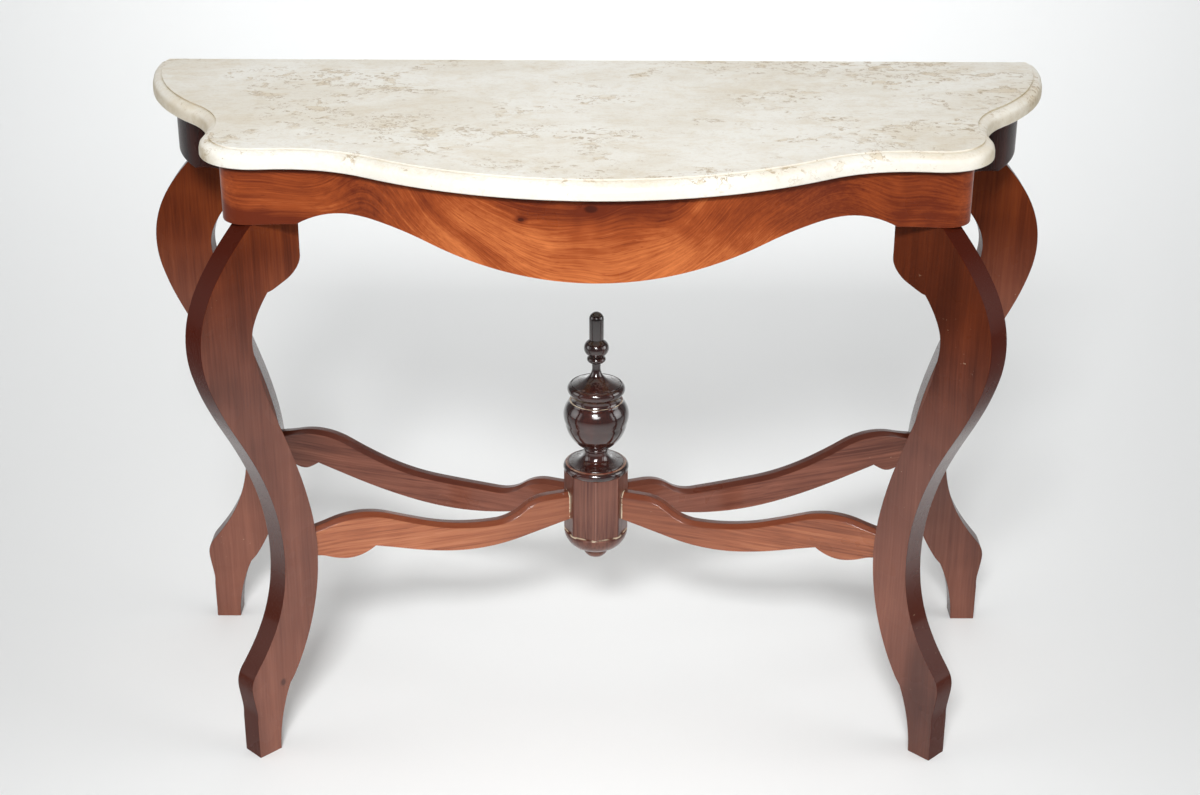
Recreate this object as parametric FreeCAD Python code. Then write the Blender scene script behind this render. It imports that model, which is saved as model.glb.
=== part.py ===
import FreeCAD, Part
import math
import os

os.makedirs("parts", exist_ok=True)

# Pier table: a serpentine moulded stone top resting on a shallow wooden
# frame, four sawn S-shaped legs and a crossed stretcher that carries a
# turned finial.  Millimetres, +Z up, the origin on the floor under the
# middle of the top.  +Y is the wall side and +X the right-hand side.

V = FreeCAD.Vector
UP = V(0, 0, 1)
LEVEL = (1.0, 0.0)

# ---------------------------------------------------------------- sizes
table_height = 800.0
top_width = 1136.0
top_depth = 493.0

# stone top: outline of the right half, from the middle of the front
stone_thickness = 22.0
stone_ear_reach = 198.4
stone_hollow_back = 105.0
stone_bow_to_hollow = 2.8
stone_lip_heading = -5.6
stone_lip_length = 14.6
stone_lobe_radius = 68.0
stone_lobe_turn = 103.4
stone_waist_to_ear = 0.405
stone_ear_from_wall = 12.5
stone_corner_radius = 41.0
stone_quirk_inset = 12.0
stone_quirk_depth = 2.0
stone_ovolo_radius = 11.5
stone_arris = 1.2

# apron frame under the stone
overhang_front = 13.0
overhang_ear = 31.0
frame_setback = 12.5
frame_height = 70.0
apron_thickness = 22.0
frame_lip_length = 27.2
frame_corner_radius = 31.6
frame_side_straight = 43.0
frame_waist_to_ear = 0.61
frame_ear_heading = 94.4

# lower edge of the front apron
front_drop = 30.0
front_wave_share = 0.676
front_arch_width = 67.0
front_arch_rise = 18.0
front_arch_from_side = 87.6

# lower edge of each side apron
side_arch_rise = 16.0
side_arch_length = 138.0
side_arch_from_joint = 39.0

# legs: one profile sawn from a plank, for all four
leg_thickness = 31.0
front_toe_out = 3.4
front_toe_forward = 51.0
front_leg_angle = 45.0
rear_toe_out = 3.0
rear_toe_from_back = 25.0

# stretcher arms, with heights above the level of their lower edge
arm_below_ankle = 5.8
cross_from_wall = 195.5
arm_thickness = 20.0
arm_moulding = 5.5
arm_root_height = 32.5
arm_root_drop = 7.0
arm_root_flat = 24.0
arm_root_slope = 0.23
arm_dip_height = 7.5
arm_dip_at = 138.0
arm_rise_height = 23.3
arm_rise_from_leg = 149.0
arm_crest_height = 48.5
arm_crest_from_leg = 55.0
arm_leg_height = 36.5
arm_leg_slope = 0.2
arm_belly_share = 0.435
arm_belly_drop_share = 0.0705
arm_belly_end_share = 0.66
arm_belly_end_slope = 0.25
arm_cusp_height = 0.5
front_arm_cusp_from_leg = 82.0
rear_arm_cusp_from_leg = 57.0
arm_scallop_drop = 10.5
arm_scallop_share = 0.52
arm_scallop_slope = 0.75
arm_overrun = 14.0

# octagonal block at the crossing, with its turned pendant below
block_radius = 42.0
block_below_arms = 28.5
block_height = 86.5
pendant_drop = 42.0

# turned finial: its round base, urn, lid and spire
base_height = 28.5
finial_height = 192.0
finial_radius = 42.0
spigot_radius = 8.0
spigot_length = 20.0

# hidden joinery
corner_block_depth = 60.0
block_over_leg = 11.0
rear_block_over_leg = 14.0
rear_block_depth = 32.0
block_margin = 4.0
bearer_x = 180.0
bearer_width = 60.0
bearer_thickness = 20.0
leg_tenon_length = 30.0
leg_tenon_thickness = 12.0
leg_tenon_inner_shoulder = 7.0
leg_tenon_outer_shoulder = 31.0
rear_tenon_offset = 6.0
arm_tenon_length = 16.0
arm_tenon_thickness = 8.0
arm_tenon_shoulder = 8.0
key_length = 28.0
key_thickness = 8.0
key_width = 40.0
key_inset = 3.0

# clearances
seat_gap = 0.3
joint_gap = 0.2
pocket_end_gap = 1.0

# ------------------------------------------------------------ derived
stone_bottom = table_height - stone_thickness
leg_height = stone_bottom - frame_height
half_width = top_width / 2.0
front_y = -top_depth / 2.0
wall_y = top_depth / 2.0
frame_front_y = front_y + overhang_front
frame_back_y = wall_y - frame_setback
frame_back_x = half_width - overhang_ear
rail_front_y = frame_back_y - apron_thickness
cross_y = wall_y - cross_from_wall
leg_ankle = (-0.153, 0.362)
arm_level = leg_ankle[1] * leg_height - arm_below_ankle
block_bottom = arm_level - block_below_arms
block_top = block_bottom + block_height
half_facet = 22.5
block_face = block_radius * math.cos(math.radians(half_facet))
beyond = 30.0

# the leg profile, as (out from the toe, up from the floor) in shares of
# the leg's height
leg_top = (-0.057, 1.0)
leg_scroll_tip = (-0.153, 0.94)
LEG_OUTER = [leg_top, (-0.010, 0.953), (0.0425, 0.874), (0.0555, 0.818), (0.0255, 0.69)]
LEG_OUTER += [(-0.033, 0.575), (-0.081, 0.385), (-0.066, 0.277), (-0.014, 0.186), (0.0045, 0.158)]
LEG_OUTER += [(0.0045, 0.125), (0.0, 0.075)]
LEG_FOOT = [(-0.047, 0.0), (-0.051, 0.045), (-0.076, 0.126)]
LEG_CALF = [(-0.087, 0.139), (-0.130, 0.228), leg_ankle, (-0.121, 0.542), (-0.049, 0.768)]
LEG_CALF += [(-0.0465, 0.809), (-0.061, 0.847), (-0.083, 0.877)]
LEG_SCROLL = [LEG_CALF[-1], (-0.108, 0.884), (-0.1345, 0.896), (-0.1505, 0.914), leg_scroll_tip]
leg_top_outer = leg_top[0] * leg_height
leg_top_inner = leg_scroll_tip[0] * leg_height


# -------------------------------------------------------------- helpers
def step(heading_a, heading_b):
    """Displacement of a unit-radius arc that turns from one heading to another."""
    a = math.radians(heading_a)
    b = math.radians(heading_b)
    side = 1.0 if b > a else -1.0
    return side * (math.sin(b) - math.sin(a)), side * (math.cos(a) - math.cos(b))


def s_curve(start, end, first_heading, last_heading, ratio):
    """Two tangent arcs from start to end that turn opposite ways.

    ratio is the first radius over the second.  The heading between the
    arcs is found by halving, so that both ends are met.
    """
    dx = end[0] - start[0]
    dy = end[1] - start[1]

    def miss(middle):
        ax, ay = step(first_heading, middle)
        bx, by = step(middle, last_heading)
        return (ratio * ax + bx) * dy - (ratio * ay + by) * dx

    chord = math.degrees(math.atan2(dy, dx))
    away = 1.0 if chord > first_heading else -1.0
    near = chord
    far = chord + 80.0 * away
    for _ in range(60):
        middle = (near + far) / 2.0
        if miss(near) * miss(middle) <= 0:
            far = middle
        else:
            near = middle
    ax, ay = step(first_heading, middle)
    bx, by = step(middle, last_heading)
    radius = math.hypot(dx, dy) / math.hypot(ratio * ax + bx, ratio * ay + by)
    first = ("arc", away * ratio * radius, middle - first_heading)
    second = ("arc", -away * radius, last_heading - middle)
    return [first, second]


def walk(start, segments, inset):
    """Edges of a path that starts along +X, moved to its left by inset."""
    x = start[0]
    y = start[1] + inset
    heading = 0.0
    edges = []
    for kind, size, turn in segments:
        h = math.radians(heading)
        here = V(x, y, 0)
        if kind == "line":
            x += size * math.cos(h)
            y += size * math.sin(h)
            edges.append(Part.makeLine(here, V(x, y, 0)))
            continue
        radius = abs(size - inset)
        mx, my = step(heading, heading + turn / 2.0)
        ex, ey = step(heading, heading + turn)
        middle = V(x + radius * mx, y + radius * my, 0)
        x += radius * ex
        y += radius * ey
        edges.append(Part.Arc(here, middle, V(x, y, 0)).toShape())
        heading += turn
    return edges, (x, y)


def end_of(start, segments):
    return walk(start, segments, 0.0)[1]


def ring_wire(start, segments, inset, z):
    """Closed wire of the path and its mirror image at one height."""
    right, end = walk(start, segments, inset)
    left = [mirrored(edge) for edge in right]
    closing = Part.makeLine(V(end[0], end[1], 0), V(-end[0], end[1], 0))
    wire = Part.Wire(Part.__sortEdges__(right + left + [closing]))
    wire.translate(V(0, 0, z))
    return wire


def plate(start, segments, inset, z0, z1):
    """Solid between two heights inside the path and its mirror image."""
    return Part.Face(ring_wire(start, segments, inset, z0)).extrude(V(0, 0, z1 - z0))


def box(x0, x1, y0, y1, z0, z1):
    return Part.makeBox(x1 - x0, y1 - y0, z1 - z0, V(x0, y0, z0))


def grown(size, gap, end_gap):
    """A tenon's box (x0, x1, y0, y1, z0, z1) made into its pocket."""
    x0, x1, y0, y1, z0, z1 = size
    return box(x0 - end_gap, x1 + end_gap, y0 - gap, y1 + gap, z0 - gap, z1 + gap)


def mirrored(shape):
    return shape.mirror(V(0, 0, 0), V(1, 0, 0))


def place(shape, angle, x, y):
    """Turn a shape about Z and carry it to a place on the floor."""
    moved = shape.copy()
    moved.rotate(V(0, 0, 0), UP, angle)
    moved.translate(V(x, y, 0))
    return moved


def line(a, b):
    return Part.makeLine(V(a[0], 0, a[1]), V(b[0], 0, b[1]))


def arc(a, m, b):
    return Part.Arc(V(a[0], 0, a[1]), V(m[0], 0, m[1]), V(b[0], 0, b[1])).toShape()


def polyline(points):
    return [line(a, b) for a, b in zip(points, points[1:])]


def arc_leaving(a, heading, b):
    """Arc in the XZ plane from a to b that leaves a along a unit heading."""
    chord = b - a
    turn = heading.getAngle(chord)
    if heading.x * chord.z - heading.z * chord.x > 0:
        turn = -turn
    if abs(turn) < 1e-4:
        return Part.makeLine(a, b)
    side = V(-chord.z, 0, chord.x)
    middle = (a + b) * 0.5 + side * (math.tan(turn / 2.0) / 2.0)
    return Part.Arc(a, middle, b).toShape()


def spline(points, start_slope=None, end_slope=None):
    """Smooth curve in the XZ plane through (x, z) points, two tangent arcs to a span."""
    curve = Part.BSplineCurve()
    nodes = [V(x, 0, z) for x, z in points]
    if start_slope is None:
        curve.interpolate(nodes)
    else:
        first = V(start_slope[0], 0, start_slope[1])
        last = V(end_slope[0], 0, end_slope[1])
        curve.interpolate(Points=nodes, InitialTangent=first, FinalTangent=last)
    headings = [curve.tangent(curve.parameter(node))[0] for node in nodes]
    edges = []
    for a, b, leaving, arriving in zip(nodes, nodes[1:], headings, headings[1:]):
        chord = b - a
        both = leaving + arriving
        bend = 2.0 * (1.0 - leaving.dot(arriving))
        along = chord.dot(both)
        square = chord.dot(chord)
        handle = square / (along + math.sqrt(along * along + bend * square))
        joint = (a + b + (leaving - arriving) * handle) * 0.5
        edges.append(arc_leaving(a, leaving, joint))
        edges.append(arc_leaving(b, arriving * -1.0, joint))
    return edges


def cuts(a, m, b, count):
    """Points of short straight cuts that follow the arc through three points."""
    points = arc(a, m, b).discretize(Number=count + 1)
    return [(p.x, p.z) for p in points]


def plank(edges, thickness):
    """Extrude a closed outline in the XZ plane, centred on Y = 0."""
    face = Part.Face(Part.Wire(Part.__sortEdges__(edges)))
    solid = face.extrude(V(0, thickness, 0))
    solid.translate(V(0, -thickness / 2.0, 0))
    return solid


def turned(points):
    """Revolve a profile of (r, z) points about the vertical through the crossing."""
    face = Part.Face(Part.Wire(polyline(points + points[:1])))
    solid = face.revolve(V(0, 0, 0), UP, 360)
    solid.translate(V(0, cross_y, 0))
    return solid


def save(node, shape):
    shape.exportStep("parts/" + node + ".step")


# ------------------------------------------------------------ stone top
def stone_path():
    start = (0.0, front_y)
    hollow_end = (half_width - stone_ear_reach, front_y + stone_hollow_back)
    path = s_curve(start, hollow_end, 0.0, stone_lip_heading, stone_bow_to_hollow)
    path.append(("line", stone_lip_length, 0.0))
    path.append(("arc", stone_lobe_radius, stone_lobe_turn))
    side_heading = stone_lip_heading + stone_lobe_turn
    ear_end = (half_width, wall_y - stone_ear_from_wall)
    path += s_curve(end_of(start, path), ear_end, side_heading, 90.0, stone_waist_to_ear)
    corner_turn = math.degrees(math.asin(stone_ear_from_wall / stone_corner_radius))
    path.append(("arc", stone_corner_radius, corner_turn))
    return start, path


stone_start, stone_segments = stone_path()


def make_marble_top():
    """The slab's edge runs from a small arris up through a quarter round."""
    past_wall = stone_segments + [("line", beyond, 0.0)]
    shelf = table_height - stone_quirk_depth
    rim = [(stone_arris, stone_bottom), (0.0, stone_bottom + stone_arris)]
    for degrees in (0.0, 30.0, 60.0, 90.0):
        a = math.radians(degrees)
        inset = stone_ovolo_radius * (1.0 - math.cos(a))
        rim.append((inset, shelf - stone_ovolo_radius * (1.0 - math.sin(a))))
    rim.append((stone_quirk_inset, shelf))
    rim.append((stone_quirk_inset, table_height))
    wires = [ring_wire(stone_start, past_wall, inset, z) for inset, z in rim]
    slab = Part.makeLoft(wires, True, True)
    room = box(-top_width, top_width, front_y - beyond, wall_y, 0, table_height + beyond)
    return slab.common(room).Solids[0]


# --------------------------------------------------------- apron frame
def frame_path():
    start = (0.0, frame_front_y)
    path = [(kind, radius - overhang_front, turn) for kind, radius, turn in stone_segments[:2]]
    path.append(("line", frame_lip_length, 0.0))
    path.append(("arc", frame_corner_radius, 90.0 - stone_lip_heading))
    corner_end = end_of(start, path)
    path.append(("line", frame_side_straight, 0.0))
    back = (frame_back_x, frame_back_y)
    path += s_curve(end_of(start, path), back, 90.0, frame_ear_heading, frame_waist_to_ear)
    return start, path, corner_end


frame_start, frame_segments, corner_end = frame_path()
frame_side_x = corner_end[0]
apron_joint_y = corner_end[1]
front_toe_x = frame_side_x + front_toe_out
front_toe_y = apron_joint_y - front_toe_forward
rear_toe_x = frame_back_x + rear_toe_out
rear_toe_y = frame_back_y - rear_toe_from_back
front_arch_end_x = frame_side_x - front_arch_from_side
side_arch_start_y = apron_joint_y + side_arch_from_joint


def inside_frame(inset, z0, z1):
    """Room inside the aprons, open at the back."""
    past_back = frame_segments + [("line", beyond, 0.0)]
    return plate(frame_start, past_back, inset, z0, z1)


def front_waste():
    """What is sawn away below the front apron, as one prism along Y."""
    tip = leg_height - front_drop
    peak = leg_height + front_arch_rise
    arch_x = front_arch_end_x - front_arch_width
    wave_x = arch_x * front_wave_share
    wave = (wave_x, tip + (peak - tip) * front_wave_share)
    half_turn = math.atan2(peak - tip, arch_x)
    first = wave_x / math.sin(2.0 * half_turn)
    second = (arch_x - wave_x) / math.sin(2.0 * half_turn)
    low_mid = (first * math.sin(half_turn), tip + first * (1 - math.cos(half_turn)))
    high_mid = (arch_x - second * math.sin(half_turn), peak - second * (1 - math.cos(half_turn)))
    third = (front_arch_width ** 2 + front_arch_rise ** 2) / (2.0 * front_arch_rise)
    half_drop = math.asin(front_arch_width / third) / 2.0
    drop_mid = (arch_x + third * math.sin(half_drop), peak - third * (1 - math.cos(half_drop)))
    arch_end = (front_arch_end_x, leg_height)
    floor_z = tip - beyond
    right = [arc((0, tip), low_mid, wave), arc(wave, high_mid, (arch_x, peak))]
    right.append(arc((arch_x, peak), drop_mid, arch_end))
    right += polyline([arch_end, (half_width, leg_height), (half_width, floor_z)])
    left = [mirrored(edge) for edge in right]
    return plank(right + left + [line((half_width, floor_z), (-half_width, floor_z))], 2 * top_depth)


def side_waste():
    """What is sawn away below a side apron, as one prism along X."""
    y0 = side_arch_start_y
    y1 = y0 + side_arch_length
    crown = (V(0, (y0 + y1) / 2.0, leg_height + side_arch_rise))
    floor_z = leg_height - front_drop - beyond
    corners = [(y1, leg_height), (top_depth, leg_height), (top_depth, floor_z)]
    corners += [(-top_depth, floor_z), (-top_depth, leg_height), (y0, leg_height)]
    edges = [Part.Arc(V(0, y0, leg_height), crown, V(0, y1, leg_height)).toShape()]
    for a, b in zip(corners, corners[1:]):
        edges.append(Part.makeLine(V(0, a[0], a[1]), V(0, b[0], b[1])))
    face = Part.Face(Part.Wire(Part.__sortEdges__(edges)))
    return face.extrude(V(top_width, 0, 0))


def make_aprons():
    low = leg_height - front_drop - beyond
    hollow = inside_frame(apron_thickness, low - 1.0, stone_bottom + 1.0)
    ring = inside_frame(0.0, low, stone_bottom).cut(hollow)
    front = ring.common(box(-top_width, top_width, front_y, apron_joint_y, low, stone_bottom))
    right = ring.common(box(0, top_width, apron_joint_y, frame_back_y, low, stone_bottom))
    return front.cut(front_waste()).Solids[0], right.cut(side_waste()).Solids[0]


# ---------------------------------------------------------------- legs
def leg_points(shares):
    return [(out * leg_height, up * leg_height) for out, up in shares]


def make_leg_blank():
    """Leg profile in its own plane: X out from the toe, Z up."""
    outer, foot, calf, scroll = map(leg_points, (LEG_OUTER, LEG_FOOT, LEG_CALF, LEG_SCROLL))
    edges = spline(outer) + spline(foot) + spline(calf) + spline(scroll, (-1, 0.05), (0, 1))
    edges += polyline([outer[-1], (0.0, 0.0), foot[0]])
    edges.append(line(foot[-1], calf[0]))
    edges += polyline([scroll[-1], (leg_top_inner, leg_height), (leg_top_outer, leg_height)])
    return plank(edges, leg_thickness)


def front_leg_point(s):
    """Point on the floor in the middle plane of the front right leg."""
    a = math.radians(front_leg_angle)
    return V(front_toe_x + s * math.cos(a), front_toe_y - s * math.sin(a), 0)


# ------------------------------------------------------------ stretcher
def make_arm_blank(reach, cusp_from_leg, lean):
    """Arm with a bevelled top edge: X out from the crossing to the leg's face.

    The root seats on the block's facet, which leans from square to the arm.
    """
    lean = math.radians(lean)
    flat_start = block_radius + arm_moulding
    flat_end = block_radius + arm_root_flat
    root_top = arm_level + arm_root_height
    root_bottom = arm_level - arm_root_drop
    belly_drop = reach * arm_belly_drop_share
    dip = (arm_dip_at, arm_level + arm_dip_height)
    cusp = (reach - cusp_from_leg, arm_level + arm_cusp_height)
    scallop_at = reach - cusp_from_leg * arm_scallop_share
    end = reach + arm_overrun
    end_top = arm_level + arm_leg_height - arm_leg_slope * arm_overrun
    upper = [dip, (reach - arm_rise_from_leg, arm_level + arm_rise_height)]
    upper += [(reach - arm_crest_from_leg, arm_level + arm_crest_height)]
    upper += [(reach, arm_level + arm_leg_height)]
    lower = [(flat_start, root_bottom), (reach * arm_belly_share, arm_level - belly_drop)]
    lower += [(reach - arm_rise_from_leg, arm_level - belly_drop * arm_belly_end_share), cusp]
    scallop = [cusp, (scallop_at, arm_level - arm_scallop_drop), (reach, arm_level)]
    crown = spline([(flat_end, root_top), dip], LEVEL, LEVEL) + spline(upper, LEVEL, (1, -arm_leg_slope))
    crown.append(line(upper[-1], (end, end_top)))
    belly = spline(lower, (1, -arm_root_slope), (1, arm_belly_end_slope))
    belly += spline(scallop, (1, -arm_scallop_slope), LEVEL)
    belly.append(line(scallop[-1], (end, arm_level)))

    def section(y, drop):
        """Outline at one depth, with the crown lowered by drop."""
        root = (block_face - y * math.sin(lean)) / math.cos(lean)
        root_low = (root, root_bottom + arm_root_slope * (flat_start - root))
        edges = [line((root, root_top), (flat_end, root_top))] + [edge.copy() for edge in crown]
        for edge in edges:
            edge.translate(V(0, 0, -drop))
        edges += [edge.copy() for edge in belly]
        edges.append(line((end, end_top - drop), (end, arm_level)))
        edges += polyline([lower[0], root_low, (root, root_top - drop)])
        wire = Part.Wire(Part.__sortEdges__(edges))
        wire.translate(V(0, y, 0))
        return wire

    half = arm_thickness / 2.0
    flat = half - arm_moulding
    depths = [(-half, arm_moulding), (-flat, 0.0), (flat, 0.0), (half, arm_moulding)]
    return Part.makeLoft([section(y, drop) for y, drop in depths], True, True)


def make_block():
    """Octagonal block; its lower end is turned to a bowl and a button."""
    corners = []
    for k in range(9):
        a = math.radians(45.0 * k)
        corners.append(V(block_radius * math.cos(a), cross_y + block_radius * math.sin(a), block_bottom))
    prism = Part.Face(Part.makePolygon(corners)).extrude(V(0, 0, block_height))

    def below(r, share):
        return block_radius * r, block_bottom - pendant_drop * share

    bowl = cuts(below(0.99, 0.05), below(0.82, 0.42), below(0.49, 0.61), 3)
    button = cuts(below(0.38, 0.64), below(0.35, 0.84), below(0.21, 0.96), 2)
    bottom = [(0.0, block_bottom - pendant_drop)]
    top = [(0.0, block_bottom + 1.0), (block_radius * 0.9, block_bottom + 1.0)]
    rim = [(block_radius * 0.9, block_bottom), below(0.99, 0.0)]
    return prism.fuse(turned(top + rim + bowl + button + bottom))


def make_finial():
    """Round base, urn, lid and spire turned in one length, with a spigot."""
    def base(r, share):
        return block_radius * r, block_top + base_height * share

    def at(r, share):
        return finial_radius * r, block_top + base_height + finial_height * share

    points = [(0.0, block_top - spigot_length), (spigot_radius, block_top - spigot_length)]
    points += [(spigot_radius, block_top)]
    points += cuts(base(0.97, 0.0), base(1.02, 0.2), base(0.865, 0.4), 3)
    points += [base(0.6, 0.47), base(0.43, 0.66), base(0.365, 1.0)]
    points += [at(0.395, 0.008), at(0.405, 0.024)]
    points += cuts(at(0.405, 0.024), at(0.75, 0.091), at(0.962, 0.208), 3)[1:]
    points += cuts(at(0.962, 0.208), at(0.99, 0.297), at(0.826, 0.372), 3)[1:]
    points += [at(0.745, 0.398), at(0.838, 0.425), at(0.888, 0.448), at(0.805, 0.484), at(0.748, 0.484)]
    points += cuts(at(0.476, 0.516), at(0.219, 0.565), at(0.136, 0.648), 3)
    points += [at(0.195, 0.651), at(0.29, 0.666), at(0.252, 0.682)]
    points += cuts(at(0.248, 0.685), at(0.383, 0.734), at(0.276, 0.797), 4)
    points += [at(0.226, 0.801), at(0.226, 0.96), at(0.15, 0.99), at(0.0, 1.0)]
    return turned(points)


# ============================================================ building
marble_top = make_marble_top()
front_apron, right_apron = make_aprons()
slot = box(-top_width, top_width, rail_front_y, frame_back_y, 0, table_height)
back_rail = inside_frame(apron_thickness + seat_gap, leg_height, stone_bottom).common(slot)
centre_block = make_block()
leg_blank = make_leg_blank()
front_leg = place(leg_blank, -front_leg_angle, front_toe_x, front_toe_y)
rear_leg = place(leg_blank, 0.0, rear_toe_x, rear_toe_y)

# corner blocks fill the corners of the frame over the leg tops
block_room = inside_frame(apron_thickness + seat_gap, leg_height, leg_height + corner_block_depth)
reach_box = box(leg_top_inner - block_over_leg, top_width, -top_width, top_width, 0, table_height)
front_block = block_room.common(place(reach_box, -front_leg_angle, front_toe_x, front_toe_y))
front_block_x = front_arch_end_x + block_margin
front_block_y = side_arch_start_y - block_margin
front_block = front_block.common(box(front_block_x, top_width, front_y, front_block_y, 0, table_height))
rear_block_x = rear_toe_x + leg_top_inner - rear_block_over_leg
rear_block_y = rail_front_y - rear_block_depth
rear_block = block_room.common(box(rear_block_x, top_width, rear_block_y, rail_front_y, 0, table_height))

# bearers run from front to back under the stone
bearer_room = inside_frame(apron_thickness + seat_gap, stone_bottom - bearer_thickness, stone_bottom)
bearer = bearer_room.common(box(bearer_x - bearer_width / 2.0, bearer_x + bearer_width / 2.0,
                                front_y, rail_front_y, 0, table_height))

# a tenon on top of each leg stands in its corner block
half_tenon = leg_tenon_thickness / 2.0
tenon_x = (leg_top_inner + leg_tenon_inner_shoulder, leg_top_outer - leg_tenon_outer_shoulder)
tenon_z = (leg_height, leg_height + leg_tenon_length)
front_size = tenon_x + (-half_tenon, half_tenon) + tenon_z
rear_size = tenon_x + (-rear_tenon_offset - half_tenon, half_tenon - rear_tenon_offset) + tenon_z
front_leg = front_leg.fuse(place(box(*front_size), -front_leg_angle, front_toe_x, front_toe_y))
rear_leg = rear_leg.fuse(place(box(*rear_size), 0.0, rear_toe_x, rear_toe_y))
front_pocket = grown(front_size, joint_gap, joint_gap)
rear_pocket = grown(rear_size, joint_gap, joint_gap)
front_block = front_block.cut(place(front_pocket, -front_leg_angle, front_toe_x, front_toe_y))
rear_block = rear_block.cut(place(rear_pocket, 0.0, rear_toe_x, rear_toe_y))

# stretcher arms aim at the crossing from the ankles of the legs, and
# are tenoned into the block and the legs
cross = V(0, cross_y, 0)
ankle_out = leg_ankle[0] * leg_height
front_ankle = front_leg_point(ankle_out)
rear_ankle = V(rear_toe_x + ankle_out, rear_toe_y, 0)


def make_arm(ankle, cusp_from_leg, leg, leg_inward):
    """An arm, and the pockets for its tenons in the block and the leg."""
    run = ankle - cross
    reach = run.Length
    angle = math.degrees(math.atan2(run.y, run.x))
    facet = math.copysign(half_facet, run.y)
    blank = place(make_arm_blank(reach, cusp_from_leg, facet - angle), angle, 0.0, cross_y)
    seat = leg.copy()
    seat.translate(leg_inward * seat_gap)
    arm = sorted(blank.cut(seat).Solids, key=lambda piece: piece.Volume)[-1]
    half = arm_tenon_thickness / 2.0
    low = arm_level + arm_tenon_shoulder
    high = arm_level + arm_root_height - arm_tenon_shoulder
    at_block = (block_face - arm_tenon_length, block_face + arm_moulding, -half, half, low, high)
    at_leg = (reach - arm_moulding, reach + arm_tenon_length, -half, half, low, high)
    for size in (at_block, at_leg):
        arm = arm.fuse(place(box(*size), angle, 0.0, cross_y))
    pockets = [place(grown(size, joint_gap, pocket_end_gap), angle, 0.0, cross_y)
               for size in (at_block, at_leg)]
    return arm.removeSplitter(), pockets[0], pockets[1]


inward = front_leg_point(-1.0) - front_leg_point(0.0)
front_arm, front_block_pocket, front_leg_pocket = make_arm(
    front_ankle, front_arm_cusp_from_leg, front_leg, inward)
rear_arm, rear_block_pocket, rear_leg_pocket = make_arm(
    rear_ankle, rear_arm_cusp_from_leg, rear_leg, V(-1, 0, 0))
front_leg = front_leg.cut(front_leg_pocket).removeSplitter()
rear_leg = rear_leg.cut(rear_leg_pocket).removeSplitter()
for pocket in (front_block_pocket, rear_block_pocket):
    centre_block = centre_block.cut(pocket).cut(mirrored(pocket))

# loose keys in the joints of the frame
half_key = key_thickness / 2.0
half_length = key_length / 2.0
frame_middle_z = stone_bottom - frame_height / 2.0
key_z = (frame_middle_z - key_width / 2.0, frame_middle_z + key_width / 2.0)
side_key = (frame_side_x - apron_thickness / 2.0 - key_inset, apron_joint_y + key_inset)
rail_key = (frame_back_x - apron_thickness - key_inset / 2.0, frame_back_y - apron_thickness / 2.0)
keys = [(side_key[0] - half_key, side_key[0] + half_key, side_key[1] - half_length, side_key[1] + half_length)]
keys += [(rail_key[0] - half_length, rail_key[0] + half_length, rail_key[1] - half_key, rail_key[1] + half_key)]
keys = [size + key_z for size in keys]
for size in keys:
    x0, x1, y0, y1, z0, z1 = size
    pocket = box(x0 - joint_gap, x1 + joint_gap, y0 - joint_gap, y1 + joint_gap, z0 - joint_gap, z1 + joint_gap)
    right_apron = right_apron.cut(pocket)
    front_apron = front_apron.cut(pocket).cut(mirrored(pocket))
    back_rail = back_rail.cut(pocket).cut(mirrored(pocket))

# the finial's spigot stands in the block
bore = Part.makeCylinder(spigot_radius + joint_gap, spigot_length + pocket_end_gap,
                         V(0, cross_y, block_top - spigot_length - pocket_end_gap))
centre_block = centre_block.cut(bore).removeSplitter()
finial = make_finial()
right_keys = [box(*size) for size in keys]

save("marble_top", marble_top)
save("front_apron", front_apron)
save("back_rail", back_rail)
for side, turn_over in (("right", False), ("left", True)):
    for name, shape in ((side + "_side_apron", right_apron),
                        ("front_" + side + "_leg", front_leg),
                        ("rear_" + side + "_leg", rear_leg),
                        ("front_" + side + "_corner_block", front_block),
                        ("rear_" + side + "_corner_block", rear_block),
                        (side + "_bearer", bearer),
                        ("front_" + side + "_stretcher", front_arm),
                        ("rear_" + side + "_stretcher", rear_arm)):
        save(name, mirrored(shape) if turn_over else shape)
save("centre_block", centre_block)
save("finial", finial)
save("frame_keys", Part.makeCompound(right_keys + [mirrored(shape) for shape in right_keys]))
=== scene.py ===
"""Dresses the serpentine pier table: polished mahogany, a dark turned finial and a stone top.

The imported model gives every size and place.  Each operator below models or
finishes one piece, or one group of like pieces.
"""
import math

import bmesh
import bpy
from mathutils import Matrix, Vector


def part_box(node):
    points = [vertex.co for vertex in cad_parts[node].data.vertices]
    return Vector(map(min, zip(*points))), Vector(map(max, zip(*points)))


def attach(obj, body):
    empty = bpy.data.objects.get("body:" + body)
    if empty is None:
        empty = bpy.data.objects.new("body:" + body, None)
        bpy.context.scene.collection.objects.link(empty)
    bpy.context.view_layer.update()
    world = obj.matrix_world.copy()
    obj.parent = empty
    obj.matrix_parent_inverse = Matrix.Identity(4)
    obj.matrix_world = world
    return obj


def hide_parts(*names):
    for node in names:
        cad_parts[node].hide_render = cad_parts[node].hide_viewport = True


bl_info = {
    "name": "Serpentine Pier Table",
    "version": (1, 0, 0),
    "blender": (4, 5, 0),
    "location": "3D View > Sidebar > Pier Table",
    "description": "Finishes a pier table with polished mahogany, a turned finial and a stone top",
    "category": "Object",
}

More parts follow.
